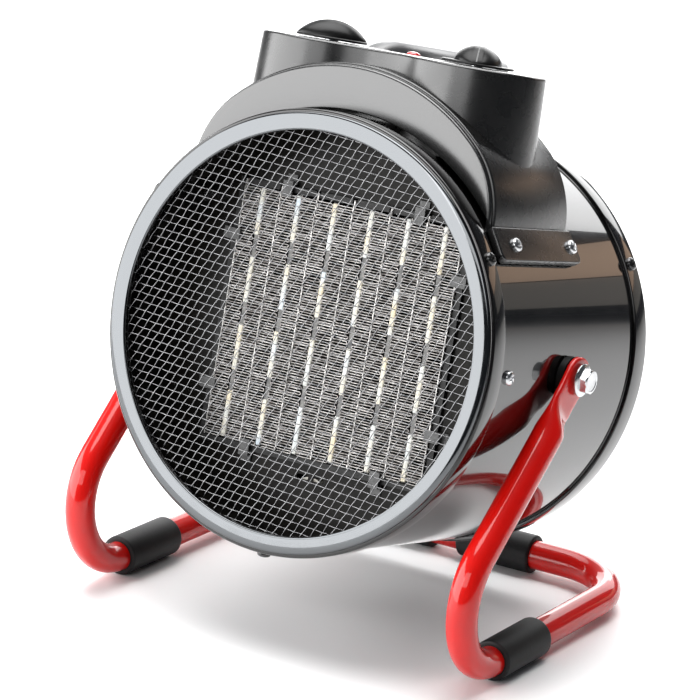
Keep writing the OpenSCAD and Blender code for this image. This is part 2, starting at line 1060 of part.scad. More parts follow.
module gland_locknut() {
    color([0.1, 0.1, 0.1])
        on_axis(saddle_rear - wall - 3.8)
            translate([0, -gland_z, 0])
                difference() {
                    cylinder(r = 9, h = 3.7, $fn = 6);
                    translate([0, 0, -1])
                        cylinder(r = 6.05, h = 6);
                }
}

// ---- fasteners -----------------------------------------------------------

// Hexagon flange bolt; its shank is the pivot pin
module pivot_bolts() {
    head_x = lug_x + lug_thick / 2 + move_gap;
    color([0.8, 0.8, 0.81])
        both_sides()
            translate([head_x, 0, 0])
                rotate([0, 90, 0]) {
                    cylinder(r = flange_r, h = 0.9);
                    translate([0, 0, 0.89])
                        cylinder(r1 = flange_r, r2 = 5.2, h = 1.3);
                    intersection() {
                        translate([0, 0, 0.9])
                            rotate([0, 0, 15])
                                cylinder(r = 10 / sqrt(3), h = 5.2, $fn = 6);
                        translate([0, 0, -4])
                            cylinder(r1 = 12.2, r2 = 4.4, h = 10.1);
                    }
                    translate([0, 0, -(head_x - shell_in + 9)])
                        cylinder(r = pivot_pin_r, h = head_x - shell_in + 9.1, $fn = 48);
                }
}

module pivot_washers() {
    color([0.1, 0.1, 0.1])
        both_sides()
            translate([shell_r + 0.5, 0, 0])
                rotate([0, 90, 0])
                    ring(pivot_pin_r + 0.1, 9,
                         lug_x - lug_thick / 2 - move_gap - shell_r - 0.5);
}

module pivot_nuts() {
    color([0.7, 0.7, 0.7])
        both_sides()
            translate([shell_in - 8, 0, 0])
                rotate([0, 90, 0])
                    difference() {
                        cylinder(r = 5.8, h = 7, $fn = 6);
                        translate([0, 0, -1])
                            cylinder(r = pivot_pin_r + 0.02, h = 10, $fn = 48);
                    }
}

module shell_screws() {
    color([0.8, 0.8, 0.8])
        side_screws(shell_screw_s, shell_angles, shell_r, 5);
}

module front_band_screws() {
    color([0.05, 0.05, 0.05])
        side_screws(band_screw_s, band_angles, band_r, 6);
}

module rear_band_screws() {
    color([0.05, 0.05, 0.05])
        side_screws(drum_len - band_screw_s, band_angles, band_r, 6);
}

module saddle_screws() {
    color([0.8, 0.8, 0.8])
        for (s = pad_screw_s)
            side_screws(s, [pad_angle, 180 - pad_angle], pad_r - 0.05, 9);
}

stand_frame();
front_left_sleeve();
front_right_sleeve();
rear_left_sleeve();
rear_right_sleeve();
in_heater() drum_shell();
in_heater() front_band();
in_heater() front_ring();
in_heater() front_guard();
in_heater() rear_band();
in_heater() rear_grille();
in_heater() baffle_plate();
in_heater() block_frame();
in_heater() block_clips();
in_heater() fin_columns();
in_heater() ceramic_chips();
in_heater() electrode_plates();
in_heater() thermal_cutout();
in_heater() air_duct();
in_heater() fan_blades();
in_heater() motor_shaft();
in_heater() motor_rotor();
in_heater() motor_stator();
in_heater() motor_coil();
in_heater() motor_front_bracket();
in_heater() motor_rear_bracket();
in_heater() motor_bushes();
in_heater() motor_mount();
in_heater() control_housing();
in_heater() saddle_front_cover();
in_heater() control_panel();
in_heater() carry_handle();
in_heater() thermostat_knob();
in_heater() thermostat_spindle();
in_heater() thermostat_body();
in_heater() switch_knob();
in_heater() switch_spindle();
in_heater() switch_body();
in_heater() lamp_lens();
in_heater() lamp_holder();
in_heater() terminal_block();
in_heater() cable_gland();
in_heater() gland_locknut();
in_heater() pivot_bolts();
in_heater() pivot_washers();
in_heater() pivot_nuts();
in_heater() shell_screws();
in_heater() front_band_screws();
in_heater() rear_band_screws();
in_heater() saddle_screws();
in_heater() mount_screws();
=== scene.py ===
"""Looks of the ceramic drum heater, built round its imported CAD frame.

Pieces of the heater are drawn in millimetres in the drum's own axes: x across,
y backwards along the drum from the pivot, z up from the pivot. Pieces of the
stand are drawn in millimetres in the row frame. A loop is a row of vertices,
and a part is a pair of vertices and faces that becomes some of a mesh.
"""
import json
import math

import bpy
from mathutils import Matrix, Vector, noise


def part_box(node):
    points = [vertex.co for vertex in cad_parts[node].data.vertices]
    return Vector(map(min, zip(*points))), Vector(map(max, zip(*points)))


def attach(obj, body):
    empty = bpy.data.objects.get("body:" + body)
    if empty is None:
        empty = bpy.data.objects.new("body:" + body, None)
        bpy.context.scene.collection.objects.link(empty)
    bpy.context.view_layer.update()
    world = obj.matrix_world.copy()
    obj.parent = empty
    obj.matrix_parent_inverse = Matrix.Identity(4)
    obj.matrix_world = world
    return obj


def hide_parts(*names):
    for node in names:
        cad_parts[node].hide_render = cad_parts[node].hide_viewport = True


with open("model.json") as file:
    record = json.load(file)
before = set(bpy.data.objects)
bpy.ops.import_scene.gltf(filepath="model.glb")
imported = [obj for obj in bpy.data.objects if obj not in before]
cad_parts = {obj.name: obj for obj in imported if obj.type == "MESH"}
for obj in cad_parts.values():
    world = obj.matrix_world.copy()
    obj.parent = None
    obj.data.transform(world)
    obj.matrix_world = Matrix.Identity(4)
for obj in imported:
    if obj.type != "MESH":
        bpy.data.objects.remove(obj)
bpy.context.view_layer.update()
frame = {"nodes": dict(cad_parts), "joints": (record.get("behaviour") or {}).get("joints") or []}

joints = {joint["name"]: joint for joint in frame["joints"]}
PIVOT = Vector(joints["tilt"]["pos_m"])
BACK = Vector(joints["fan_spin"]["axis"])
TILT = math.atan2(-BACK.z, BACK.y)
MM = Matrix.Scale(0.001, 4)
HEATER = Matrix.Translation(PIVOT) @ Matrix.Rotation(-TILT, 4, "X") @ MM
TO_HEATER = HEATER.inverted()
ALONG = Vector((0, 1, 0))


# ---- sizes from the frame -------------------------------------------------

def local_points(node):
    """Vertices of a CAD node, in millimetres in the heater's axes."""
    return [TO_HEATER @ v.co for v in frame["nodes"][node].data.vertices]


def local_box(node):
    """Lowest and highest corner of a CAD node, in millimetres in the heater's axes."""
    points = local_points(node)
    return (Vector(min(p[i] for p in points) for i in range(3)),
            Vector(max(p[i] for p in points) for i in range(3)))


ring_lo, ring_hi = local_box("front_ring")
front_band_lo, front_band_hi = local_box("front_band")
rear_band_lo, rear_band_hi = local_box("rear_band")
shell_lo, shell_hi = local_box("drum_shell")
saddle_lo, saddle_hi = local_box("control_housing")
block_lo, block_hi = local_box("fin_columns")
knob_lo, knob_hi = local_box("thermostat_knob")
handle_lo, handle_hi = local_box("carry_handle")
guard_lo, guard_hi = local_box("front_guard")

FRONT = ring_lo.y
COVER_Y = local_box("saddle_front_cover")[0].y
BAND_R = front_band_hi.x
SHELL_R = shell_hi.x
RING_R = ring_hi.x
PANEL_Z = local_box("control_panel")[1].z
KNOB_X = -(knob_lo.x + knob_hi.x) / 2
KNOB_Y = (knob_lo.y + knob_hi.y) / 2
KNOB_R = (knob_hi.x - knob_lo.x) / 2


# ---- meshes ---------------------------------------------------------------

SHARP = 34  # degrees past which an edge stays sharp
QUARTER = math.pi / 2


def make(name, verts, faces, place=HEATER, sharp=SHARP):
    """A mesh object in the row frame, smooth but for edges sharper than the given angle."""
    mesh = bpy.data.meshes.new(name)
    mesh.from_pydata([place @ Vector(v) for v in verts], [], faces)
    mesh.validate()
    mesh.shade_smooth()
    mesh.set_sharp_from_angle(angle=math.radians(sharp))
    obj = bpy.data.objects.new(name, mesh)
    bpy.context.scene.collection.objects.link(obj)
    return obj


def bridge(loops, closed_loops=True, closed_path=False):
    """Faces between equal loops, with flat caps where closed loops make an open path."""
    n, rows, faces = len(loops[0]), len(loops), []
    for i in range(rows if closed_path else rows - 1):
        a, b = i * n, (i + 1) % rows * n
        for j in range(n if closed_loops else n - 1):
            k = (j + 1) % n
            faces.append((a + j, a + k, b + k, b + j))
    if closed_loops and not closed_path:
        last = (rows - 1) * n
        faces.append(tuple(range(n))[::-1])
        faces.append(tuple(range(last, last + n)))
    return faces


def skin(loops, **kinds):
    """A part that runs over loops."""
    return [v for loop in loops for v in loop], bridge(loops, **kinds)


def loft(name, loops, place=HEATER, sharp=SHARP, **kinds):
    """A mesh object that runs over loops."""
    return make(name, *skin(loops, **kinds), place, sharp)


def join(name, parts, place=HEATER, sharp=SHARP):
    """One object from several parts."""
    verts, faces = [], []
    for v, f in parts:
        faces += [tuple(i + len(verts) for i in face) for face in f]
        verts += v
    return make(name, verts, faces, place, sharp)


def around(count):
    """Angles that share out a full turn."""
    return [2 * math.pi * k / count for k in range(count)]


def arc(cx, cy, r, start, end, steps):
    """Points of an arc, angles in degrees."""
    turn = [math.radians(start + (end - start) * k / steps) for k in range(steps + 1)]
    return [(cx + r * math.cos(t), cy + r * math.sin(t)) for t in turn]


def rounded(corners, steps=5):
    """Points of a closed outline of (x, y, radius) corners, each rounded by an arc."""
    out = []
    for i, (x, y, r) in enumerate(corners):
        if r <= 0:
            out.append((x, y))
            continue
        here = Vector((x, y))
        a = (Vector(corners[i - 1][:2]) - here).normalized()
        b = (Vector(corners[(i + 1) % len(corners)][:2]) - here).normalized()
        half = math.acos(max(-1, min(1, a.dot(b)))) / 2
        centre = here + (a + b).normalized() * (r / math.sin(half))
        start, end = here + a * (r / math.tan(half)), here + b * (r / math.tan(half))
        t0 = math.atan2(start.y - centre.y, start.x - centre.x)
        t1 = math.atan2(end.y - centre.y, end.x - centre.x)
        turn = (t1 - t0 + math.pi) % (2 * math.pi) - math.pi
        out += [(centre.x + r * math.cos(t0 + turn * k / steps),
                 centre.y + r * math.sin(t0 + turn * k / steps)) for k in range(steps + 1)]
    return out


def rectangle(x0, x1, y0, y1, r0=0.0, r1=None, steps=3):
    """Anticlockwise rectangle, its corners rounded by r0 at y0 and by r1 at y1."""
    r1 = r0 if r1 is None else r1
    return rounded([(x0, y0, r0), (x1, y0, r0), (x1, y1, r1), (x0, y1, r1)], steps)


def lathe(name, profile, segments=256, sharp=SHARP):
    """Turns a closed (radius, y) outline about the drum's axis."""
    loops = [[(r * math.cos(t), y, r * math.sin(t)) for r, y in profile] for t in around(segments)]
    return loft(name, loops, sharp=sharp, closed_path=True)


def turned(profile, segments=48):
    """Part made by turning a (radius, z) outline about z, with flat caps at its ends."""
    return skin([[(r * math.cos(t), r * math.sin(t), z) for t in around(segments)]
                 for r, z in profile])


def inset(loop, t):
    """A closed loop moved inwards by t; its points run anticlockwise."""
    out = []
    for i, (x, y) in enumerate(loop):
        ax, ay = loop[i - 1]
        bx, by = loop[(i + 1) % len(loop)]
        d = Vector((bx - ax, by - ay)).normalized()
        out.append((x - d.y * t, y + d.x * t))
    return out


def slab(loop, z0, z1, edge=0.0, edge_low=None, steps=4):
    """Loops (x, y, z) of an extruded outline, its rims rounded where edge is not 0."""
    low = edge if edge_low is None else edge_low
    bend = [QUARTER * k / steps for k in range(steps + 1)]
    layers = [(z0 + low * (1 - math.cos(t)), low * (1 - math.sin(t)))
              for t in (bend if low else [0.0])]
    layers += [(z1 - edge * (1 - math.sin(t)), edge * (1 - math.cos(t)))
               for t in (bend if edge else [0.0])]
    return [[(x, y, z) for x, y in (inset(loop, t) if t else loop)] for z, t in layers]


def ribbon(path, thickness, low, high):
    """Part made of a thin folded strip: its centre line (x, z) extruded along y."""
    loops, last = [], len(path) - 1
    for i, (x, z) in enumerate(path):
        ax, az = path[max(i - 1, 0)]
        bx, bz = path[min(i + 1, last)]
        d = Vector((bx - ax, bz - az)).normalized() * thickness / 2
        a, b = (x - d.y, z + d.x), (x + d.y, z - d.x)
        loops.append([(a[0], low, a[1]), (b[0], low, b[1]), (b[0], high, b[1]), (a[0], high, a[1])])
    return skin(loops)


def wire(points, r, sides=6):
    """Part made of a thin round wire along points."""
    loops, last = [], len(points) - 1
    for i, p in enumerate(points):
        d = (Vector(points[min(i + 1, last)]) - Vector(points[max(i - 1, 0)])).normalized()
        side = d.cross(ALONG).normalized()
        up = side.cross(d)
        loops.append([tuple(Vector(p) + side * r * math.cos(t) + up * r * math.sin(t))
                      for t in around(sides)])
    return skin(loops)


# ---- materials ------------------------------------------------------------

def shader_node(tree, kind, values, links):
    """A new node's outputs, once its sockets have the given values and links."""
    made = tree.nodes.new(kind)
    for socket, value in values.items():
        made.inputs[socket].default_value = value
    for socket, source in links.items():
        tree.links.new(source, made.inputs[socket])
    return made.outputs


def grain(tree, where, scale, detail=4.0, stretch=None):
    """Noise fixed to the object, with its axes stretched if three factors are given."""
    if stretch:
        made = shader_node(tree, "ShaderNodeMapping", {"Scale": stretch}, {"Vector": where})
        where = made["Vector"]
    values = {"Scale": scale, "Detail": detail}
    return shader_node(tree, "ShaderNodeTexNoise", values, {"Vector": where})["Fac"]


def remap(tree, value, low, high):
    """Brings the middle of a noise's range to low..high."""
    limits = {"From Min": 0.3, "From Max": 0.7, "To Min": low, "To Max": high}
    return shader_node(tree, "ShaderNodeMapRange", limits, {"Value": value})["Result"]


def relief(tree, where, scale, strength, distance=0.0001, stretch=None, below=None):
    """Fine relief on top of the relief below it."""
    links = {"Height": grain(tree, where, scale, 3.0, stretch)}
    if below:
        links["Normal"] = below
    values = {"Strength": strength, "Distance": distance}
    return shader_node(tree, "ShaderNodeBump", values, links)["Normal"]


def material(name, color, rough, metallic=0.0, coat=0.0, coat_rough=0.05, specular=None,
             bumps=(), mottle=None, rough_noise=None):
    """A procedural surface. bumps: (scale per metre, strength) of fine relief, then its
    height in metres and a stretch for each axis if need be. mottle: (second colour, scale,
    share). rough_noise: (scale, low, high)."""
    m = bpy.data.materials.new(name)
    m.use_nodes = True
    tree = m.node_tree
    shader = tree.nodes["Principled BSDF"].inputs
    shader["Base Color"].default_value = (*color, 1)
    shader["Roughness"].default_value = rough
    shader["Metallic"].default_value = metallic
    shader["Coat Weight"].default_value = coat
    shader["Coat Roughness"].default_value = coat_rough
    if specular is not None:
        shader["Specular IOR Level"].default_value = specular
    where = tree.nodes.new("ShaderNodeTexCoord").outputs["Object"]
    if mottle:
        other, scale, share = mottle
        mix = tree.nodes.new("ShaderNodeMix")
        mix.data_type = "RGBA"
        mix.inputs["A"].default_value = (*color, 1)
        mix.inputs["B"].default_value = (*other, 1)
        tree.links.new(remap(tree, grain(tree, where, scale), 0, share), mix.inputs["Factor"])
        tree.links.new(mix.outputs["Result"], shader["Base Color"])
    if rough_noise:
        scale, low, high = rough_noise
        tree.links.new(remap(tree, grain(tree, where, scale), low, high), shader["Roughness"])
    normal = None
    for bump in bumps:
        normal = relief(tree, where, *bump, below=normal)
    if normal:
        tree.links.new(normal, shader["Normal"])
    return m


enamel = material(
    "black_enamel", (0.004, 0.0035, 0.0035), 0.12, coat=1.0, coat_rough=0.02, specular=0.15,
    bumps=[(420, 0.04)], rough_noise=(60, 0.1, 0.16))
red_paint = material(
    "red_paint", (0.58, 0.0035, 0.0012), 0.45, coat=0.85, coat_rough=0.03, specular=0.1,
    bumps=[(700, 0.08)], mottle=((0.5, 0.0025, 0.001), 90, 0.5))
rubber = material(
    "sleeve_rubber", (0.006, 0.006, 0.0065), 0.55, specular=0.3,
    bumps=[(2600, 0.3), (300, 0.15)], mottle=((0.01, 0.01, 0.0105), 500, 0.6))
chrome = material(
    "chrome", (0.12, 0.125, 0.13), 0.08, metallic=1.0,
    bumps=[(240, 0.02)], rough_noise=(160, 0.05, 0.12))
wire_metal = material(
    "guard_wire", (0.3, 0.3, 0.305), 0.2, metallic=1.0,
    bumps=[(1500, 0.15)], mottle=((0.12, 0.12, 0.125), 400, 0.7))
grille_paint = material(
    "grille_paint", (0.014, 0.014, 0.015), 0.38,
    bumps=[(1600, 0.2)], mottle=((0.02, 0.02, 0.021), 200, 0.5))
baffle_steel = material(
    "baffle_steel", (0.006, 0.0055, 0.0045), 0.34, specular=0.12,
    bumps=[(1200, 0.1)], mottle=((0.011, 0.01, 0.008), 120, 0.6))
frame_plastic = material(
    "frame_plastic", (0.014, 0.014, 0.014), 0.6,
    bumps=[(1800, 0.25)], mottle=((0.022, 0.021, 0.02), 250, 0.5))
# pivot washers: black plastic, made darker still than the frame's as painted shade in the gap
# between the stand's lugs and the drum
washer_plastic = material(
    "washer_plastic", (0.003, 0.003, 0.003), 0.5, specular=0.15,
    bumps=[(1800, 0.1)], mottle=((0.005, 0.005, 0.005), 250, 0.5))
spring_steel = material(
    "spring_steel", (0.1, 0.1, 0.1), 0.5, metallic=0.4,
    bumps=[(1200, 0.15)], mottle=((0.16, 0.16, 0.16), 300, 0.6))
fin_edge = material(
    "fin_edge", (0.8, 0.76, 0.73), 0.45, metallic=0.3,
    bumps=[(2200, 0.3)], mottle=((0.17, 0.15, 0.14), 260, 1.0))
# the fins' walls: a near-black copy of the fin aluminium, painted shade for the gaps between the
# folds
fin_wall = material(
    "fin_wall", (0.008, 0.007, 0.006), 0.5, specular=0.2,
    bumps=[(2200, 0.3)], mottle=((0.006, 0.005, 0.004), 400, 0.8))
plate_metal = material(
    "electrode_aluminium", (0.1, 0.095, 0.09), 0.4, metallic=0.5,
    bumps=[(900, 0.2)], mottle=((0.95, 0.93, 0.9), 420, 1.0))
chip_glue = material(
    "chip_glue", (0.13, 0.13, 0.135), 0.6,
    bumps=[(900, 0.3)], mottle=((0.34, 0.33, 0.31), 260, 0.9))
ceramic = material(
    "ceramic_chip", (1.0, 0.86, 0.6), 0.45,
    bumps=[(2400, 0.25)], mottle=((0.82, 0.92, 1.0), 70, 1.0))
sheet_steel = material(
    "sheet_steel", (0.45, 0.46, 0.47), 0.35, metallic=1.0,
    bumps=[(500, 0.12)], mottle=((0.36, 0.37, 0.38), 90, 0.6))
cast_metal = material(
    "cast_aluminium", (0.6, 0.6, 0.61), 0.5, metallic=1.0,
    bumps=[(1500, 0.4)], mottle=((0.48, 0.48, 0.49), 300, 0.6))
lamination = material(
    "motor_lamination", (0.3, 0.31, 0.33), 0.45, metallic=1.0,
    bumps=[(90, 0.5, 0.0002, (0.05, 18, 3.5))], mottle=((0.2, 0.2, 0.22), 200, 0.6))
copper = material(
    "coil_copper", (0.55, 0.2, 0.07), 0.34, metallic=0.9, coat=0.6,
    bumps=[(120, 0.7, 0.0003, (9, 0.4, 9))], mottle=((0.4, 0.12, 0.04), 500, 0.6))
brass = material(
    "bush_brass", (0.6, 0.42, 0.18), 0.35, metallic=1.0,
    bumps=[(900, 0.15)], mottle=((0.45, 0.3, 0.12), 300, 0.6))
housing_plastic = material(
    "housing_plastic", (0.005, 0.005, 0.005), 0.27, specular=0.95,
    bumps=[(2600, 0.012)], mottle=((0.0075, 0.007, 0.0065), 160, 0.6), rough_noise=(120, 0.25, 0.3))
cover_plastic = material(
    "cover_plastic", (0.008, 0.008, 0.008), 0.22, coat=0.35, coat_rough=0.22, specular=1.0,
    bumps=[(2600, 0.05)], mottle=((0.012, 0.012, 0.012), 160, 0.6))
# the handle: the housing's black plastic with a lighter grey base colour, painted sheen for the
# overhead light its rounded front reflects
handle_plastic_painted_sheen = material(
    "handle_plastic_painted_sheen", (0.075, 0.075, 0.077), 0.42, coat=0.6, coat_rough=0.4, specular=1.0,
    bumps=[(2600, 0.03)], mottle=((0.06, 0.06, 0.062), 160, 0.6))
panel_plastic = material(
    "panel_plastic", (0.02, 0.02, 0.021), 0.14, coat=1.0,
    bumps=[(2600, 0.03)], mottle=((0.026, 0.026, 0.027), 200, 0.5))
knob_plastic = material(
    "knob_plastic", (0.005, 0.005, 0.005), 0.32, specular=0.22,
    bumps=[(2000, 0.06)], mottle=((0.014, 0.014, 0.014), 300, 0.5))
knob_mark = material(
    "knob_mark", (0.12, 0.12, 0.12), 0.5,
    bumps=[(3000, 0.1)], mottle=((0.09, 0.09, 0.09), 900, 0.5))
mark_white = material(
    "dial_marks", (0.78, 0.78, 0.78), 0.5,
    bumps=[(3000, 0.1)], mottle=((0.66, 0.66, 0.66), 900, 0.5))
steel = material(
    "bright_steel", (0.68, 0.69, 0.7), 0.26, metallic=1.0,
    bumps=[(1400, 0.12)], mottle=((0.5, 0.5, 0.52), 500, 0.5))
white_plastic = material(
    "control_plastic", (0.72, 0.69, 0.62), 0.5,
    bumps=[(1800, 0.15)], mottle=((0.62, 0.59, 0.52), 200, 0.5))
lamp_red = material(
    "lamp_red", (0.7, 0.01, 0.012), 0.12, coat=1.0,
    bumps=[(300, 0.05)], mottle=((0.45, 0.005, 0.006), 400, 0.6))
gland_plastic = material(
    "gland_plastic", (0.012, 0.012, 0.012), 0.5,
    bumps=[(2400, 0.2)], mottle=((0.018, 0.018, 0.018), 300, 0.5))
black_screw = material(
    "black_screw", (0.008, 0.008, 0.008), 0.22, coat=0.5,
    bumps=[(900, 0.08)], mottle=((0.012, 0.012, 0.012), 300, 0.5))


def finish_piece(obj, surface, body, slot, *nodes):
    """Gives a new piece its material and its body and hides the CAD nodes it stands for; slot is
    not used.
    """
    obj.data.materials.clear()
    obj.data.materials.append(surface)
    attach(obj, body)
    if nodes:
        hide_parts(*nodes)


def dress(surface, *nodes):
    """Gives CAD nodes a procedural material in place of the plain one."""
    for n in nodes:
        data = frame["nodes"][n].data
        data.materials.clear()
        data.materials.append(surface)


# ---- drum -----------------------------------------------------------------

SHEET = 1.2  # thickness of the drum's steel


def drum():
    """Two bands rolled over the ends of a sheet with a shallow swage next to each band."""
    lip_r, seat_r = RING_R - 5, SHELL_R + 0.1
    front, front_end = front_band_lo.y, front_band_hi.y
    rear, rear_end = rear_band_hi.y, rear_band_lo.y
    band = lathe("front_band", rounded([
        (lip_r, front, 0.2), (BAND_R, front, 1.1), (BAND_R, front_end, 0.45),
        (seat_r, front_end, 0), (seat_r, front + SHEET, 0), (lip_r, front + SHEET, 0.2)]))
    finish_piece(band, enamel, "heater", "black_enamel", "front_band")
    band = lathe("rear_band", rounded([
        (lip_r, rear, 0.2), (lip_r, rear - SHEET, 0.2), (seat_r, rear - SHEET, 0),
        (seat_r, rear_end, 0), (BAND_R, rear_end, 0.5), (BAND_R, rear, 1.1)]))
    finish_piece(band, enamel, "heater", "black_enamel", "rear_band")
    inner = SHELL_R - SHEET
    swage = [(0.4, 0), (0.7, 0), (0.85, 0.12), (1.05, 0.42), (1.35, 0.5), (1.65, 0.42),
             (1.85, 0.12), (2.0, 0), (2.4, 0)]
    outline = [(inner, shell_lo.y), (SHELL_R, shell_lo.y)]
    outline += [(SHELL_R - depth, front_end + along) for along, depth in swage]
    outline += [(SHELL_R - depth, rear_end - along) for along, depth in reversed(swage)]
    outline += [(SHELL_R, shell_hi.y), (inner, shell_hi.y)]
    shell = lathe("drum_shell", outline, sharp=50)
    finish_piece(shell, enamel, "heater", "black_enamel", "drum_shell")


def chrome_ring():
    """Flat ring with a bead at the opening, falling back a little before its rolled rim."""
    open_r = min(math.hypot(p.x, p.z) for p in local_points("front_ring"))
    wall_y, back_y, back_r = FRONT + 2.5, front_band_lo.y - 0.05, open_r + 1.2
    bead, roll, fall, lean = 0.9, 1.1, 0.3, math.radians(20)
    inner = open_r + 1.9
    width = RING_R - roll + roll * math.sin(lean) - inner
    rim_y = FRONT + fall - roll * (1 - math.cos(lean))
    face_steps, roll_steps = 14, 8
    profile = [(open_r, wall_y), (open_r, FRONT + 1.3)]
    profile += arc(open_r + bead, FRONT + 1.0, bead, 180, 285, 10)
    for k in range(face_steps + 1):
        u = k / face_steps
        profile.append((inner + width * u, FRONT + fall * max(0.0, (u - 0.5) / 0.5) ** 2))
    for k in range(1, roll_steps + 1):
        t = lean + (QUARTER - lean) * k / roll_steps
        profile.append((RING_R - roll + roll * math.sin(t), rim_y + roll * (1 - math.cos(t))))
    profile += [(RING_R, back_y), (back_r, back_y), (back_r, wall_y)]
    ring = lathe("front_ring", profile, sharp=60)
    finish_piece(ring, chrome, "heater", "chrome_trim", "front_ring")


def woven_wires(reach, y):
    """Parts of a round mesh: each wire passes over and under those that cross it, and all
    of them bow a little, upwards above the middle and downwards below it."""
    pitch, wire_r, wave, bow = 3.65, 0.195, 0.32, 1.1
    slopes = math.radians(-4), math.radians(62)
    between = slopes[1] - slopes[0]
    step = pitch / math.sin(between)
    count = int(reach / pitch)
    parts = []
    for slope, sign in zip(slopes, (1, -1)):
        d = Vector((math.cos(slope), math.sin(slope)))
        across = Vector((-d.y, d.x))
        for i in range(-count, count + 1):
            half = math.sqrt(max(reach ** 2 - (i * pitch) ** 2, 0))
            shift = i * pitch / math.tan(between) * sign
            n = max(2, int(2 * half / step * 4))
            points = []
            for k in range(n + 1):
                t = -half + 2 * half * k / n
                phase = math.pi * (t - shift) / step + math.pi * i
                p = d * t + across * (i * pitch)
                rise = bow * (1 - (p.x / reach) ** 2) * p.y / reach
                points.append((p.x, y - sign * wave * math.cos(phase), p.y + rise))
            parts.append(wire(points, wire_r))
    return parts


def guard():
    """Woven guard behind the opening, clamped in a flat rim."""
    rim = (guard_hi.x - guard_lo.x) / 2
    y, half = FRONT + 3.6, 0.9
    wires = join("front_guard", woven_wires(rim - 3.2, y), sharp=80)
    finish_piece(wires, wire_metal, "heater", "guard_wire", "front_guard")
    edge = lathe("guard_rim", rectangle(rim - 5, rim, y - half, y + half, 0.3), 192)
    finish_piece(edge, grille_paint, "heater", "grille_paint")


# ---- heating block --------------------------------------------------------

def block_layout():
    """Left edge, width and kind of each strip of the block, from left to right."""
    pairs, chip, plate = 6, 2.6, 0.6
    left, right = block_lo.x - plate / 2, block_hi.x + plate / 2
    pitch = (right - left) / pairs
    column = (pitch - chip - plate) / 2
    strips = []
    for i in range(pairs):
        x = left + i * pitch
        strips.append((x, plate, "plate"))
        strips.append((x + plate, column, "fins"))
        strips.append((x + plate + column, chip, "chips"))
        strips.append((x + plate + column + chip, column, "fins"))
    strips.append((right - plate, plate, "plate"))
    return strips


def extruded(outline, low, high, edge=0.0):
    """Part made by extruding an outline in x and y."""
    return skin(slab(outline, low, high, edge, steps=3))


def fin_column(x, width, seed):
    """A strip folded to and fro across a column, a little uneven."""
    fold, thickness = 1.18, 0.35
    bend = fold / 2
    left, right = x + 0.05, x + 0.05 + (width - 0.1)
    points, z, k = [], block_lo.z + 0.3, 0
    while z < block_hi.z - 0.2 - bend:
        a, b, out = left + bend, right - bend, 1
        if k % 2:
            a, b, out = b, a, -1
        drift = 0.16 * noise.noise(Vector((seed * 7.3, k * 0.37, 0)))
        middle = ((a + b) / 2, z + drift + 0.1 * math.sin(k * 1.7 + seed))
        points += [(a, z + drift), middle, (b, z + drift)]
        points += [(b + out * bend * math.sin(t), z + drift + bend * (1 - math.cos(t)))
                   for t in (math.pi / 4, math.pi / 2, 3 * math.pi / 4)]
        z += fold
        k += 1
    return ribbon(points, thickness, block_lo.y + 0.4, block_hi.y)


def chip_stack(x, width, seed):
    """Ceramic chips one above another, with slightly uneven gaps."""
    chip_len, count, margin = 20.5, 4, 0.5
    gap = (block_hi.z - block_lo.z - 2 * margin - count * chip_len) / (count - 1)
    outline = rectangle(x + 0.1, x + width - 0.1, block_lo.y + 0.3, block_hi.y - 0.3, 0.5, 0.4)
    parts = []
    for i in range(count):
        low = block_lo.z + margin + i * (chip_len + gap)
        shift = 0.7 * noise.noise(Vector((seed * 3.1, i * 5.7, 0)))
        parts.append(extruded(outline, low + max(shift, 0), low + chip_len + min(shift, 0), 0.4))
    return parts


def glue_line(x, width):
    """Silicone between the chips, set back from their faces."""
    outline = rectangle(x + 0.25, x + width - 0.25, block_lo.y + 1.0, block_hi.y - 0.6)
    return extruded(outline, block_lo.z + 0.3, block_hi.z - 0.3)


def electrode(x, width):
    """A thin strip down the block, and the tab on top of it."""
    mid, half = x + width / 2, 0.2
    strip = rectangle(mid - half, mid + half, block_lo.y + 0.1, block_hi.y)
    tab = rectangle(x - 0.15, x + width + 0.15, block_lo.y + 0.6, block_lo.y + 4.4, 0.2)
    return [extruded(strip, block_lo.z, block_hi.z),
            extruded(tab, block_hi.z - 0.2, block_hi.z + 2.5, 0.25)]


def heating_block():
    fins, chips, plates, glue = [], [], [], []
    for n, (x, width, kind) in enumerate(block_layout()):
        if kind == "fins":
            fins.append(fin_column(x, width, n))
        elif kind == "chips":
            chips += chip_stack(x, width, n)
            glue.append(glue_line(x, width))
        else:
            plates += electrode(x, width)
    piece = join("fin_columns", fins, sharp=80)
    finish_piece(piece, fin_edge, "heater", "fin_aluminium", "fin_columns")
    # the edges that face forwards or backwards keep the fins' bright aluminium colour; the walls
    # between them get a near-black copy of it, painted shade for the gaps between the folds
    piece.data.materials.append(fin_wall)
    for face in piece.data.polygons:
        face.material_index = 0 if abs(face.normal.dot(BACK)) > 0.7 else 1
    finish_piece(join("ceramic_chips", chips), ceramic, "heater", "chip_ceramic", "ceramic_chips")
    finish_piece(join("chip_glue", glue), chip_glue, "heater", "chip_ceramic")
    finish_piece(join("electrode_plates", plates), plate_metal, "heater", "electrode_aluminium",
                 "electrode_plates")


# ---- stand ----------------------------------------------------------------

TUBE_R = 6.7
TUBE_SIDES = 40
# flattened ends: where they lie, how thick and wide they are, how far they reach
LUG_X, LUG_THICK, LUG_W, EAR_R = 98.8, 3.2, 17.5, 9.5
FLAT, TAPER = 19.0, 12.0
LUG_POWER = 0.42  # how square the flattened ends are, as section() takes it


